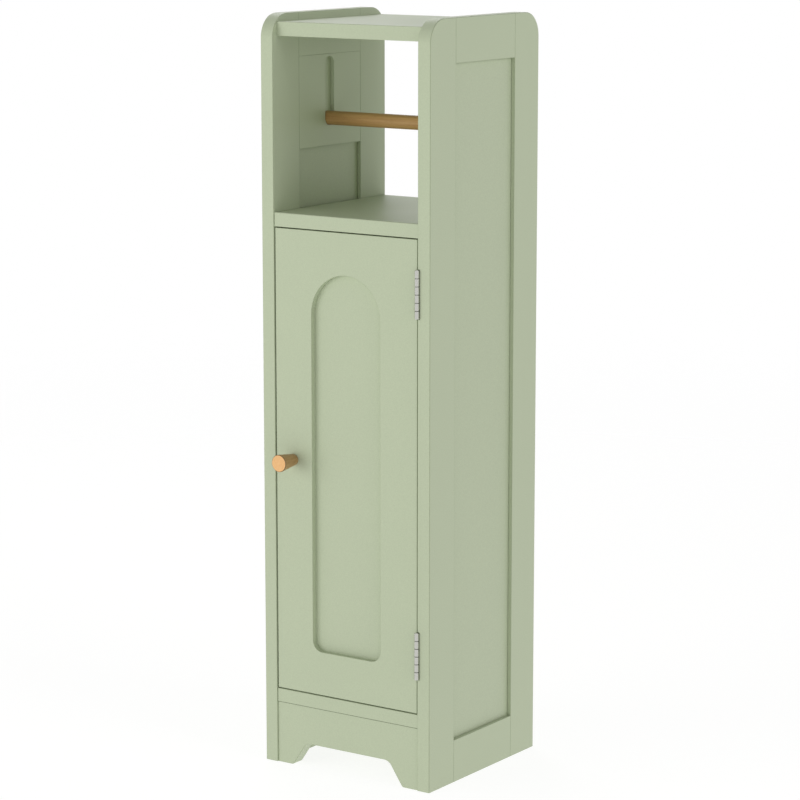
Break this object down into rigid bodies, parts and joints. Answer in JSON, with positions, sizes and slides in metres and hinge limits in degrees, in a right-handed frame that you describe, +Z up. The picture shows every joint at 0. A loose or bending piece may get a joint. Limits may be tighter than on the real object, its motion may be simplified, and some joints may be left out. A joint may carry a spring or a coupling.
{
  "type": "toilet roll storage cabinet",
  "caption": "Tall slim bathroom cabinet: open roll compartment with a drop-in wooden rod, and a closed one behind an inset door with an arched recess and a turned wooden knob.",
  "frame": {"origin": "on the floor, under the middle of the whole box, knob included", "axes": "+Z up, front and knob towards -Y, hinges on the +X side"},
  "size_m": [0.212, 0.2284, 0.8],
  "materials": {
    "sage_paint": "satin sage green lacquer on MDF",
    "rod_wood": "clear satin on light hardwood",
    "knob_wood": "clear satin on turned beech",
    "dowel_wood": "bare beech",
    "satin_nickel": "satin nickel plate",
    "steel_fittings": "bright zinc plate",
    "zinc_alloy": "as-cast zinc alloy",
    "brass": "turned",
    "white_plastic": "moulded",
    "ferrite": null
  },
  "bodies": {
    "carcass": {"left_front_stile": "sage_paint", "left_rear_stile": "sage_paint", "left_top_rail": "sage_paint", "left_bottom_rail": "sage_paint", "left_panel": "sage_paint", "left_rod_plate": "sage_paint", "right_front_stile": "sage_paint", "right_rear_stile": "sage_paint", "right_top_rail": "sage_paint", "right_bottom_rail": "sage_paint", "right_panel": "sage_paint", "right_rod_plate": "sage_paint", "top_board": "sage_paint", "middle_shelf": "sage_paint", "bottom_board": "sage_paint", "apron": "sage_paint", "back_panel": "sage_paint", "inner_shelf": "sage_paint", "shelf_pins": "steel_fittings", "cam_bolts": "zinc_alloy", "cam_locks": "zinc_alloy", "wooden_dowels": "dowel_wood", "upper_hinge_frame_leaf": "satin_nickel", "upper_hinge_pin": "satin_nickel", "lower_hinge_frame_leaf": "satin_nickel", "lower_hinge_pin": "satin_nickel", "frame_leaf_screws": "satin_nickel", "catch_housing": "white_plastic", "catch_magnet": "ferrite", "catch_pole_plates": "steel_fittings", "catch_screws": "steel_fittings"},
    "door": {"door": "sage_paint", "knob": "knob_wood", "knob_insert": "brass", "knob_screw": "steel_fittings", "knob_washer": "steel_fittings", "upper_hinge_door_leaf": "satin_nickel", "lower_hinge_door_leaf": "satin_nickel", "door_leaf_screws": "satin_nickel", "strike_plate": "steel_fittings", "strike_screws": "steel_fittings"},
    "roll_rod": {"roll_rod": "rod_wood"}
  },
  "joints": [
    {"name": "door_hinge", "type": "hinge", "parent": "carcass", "child": "door", "pos_m": [0.0909, -0.08975, 0.334], "axis": [0, 0, 1], "range_deg": [0, 180]},
    {"name": "rod_lift", "type": "slide", "parent": "carcass", "child": "roll_rod", "axis": [0, 0, 1], "range_m": [0, 0.0575]}
  ]
}
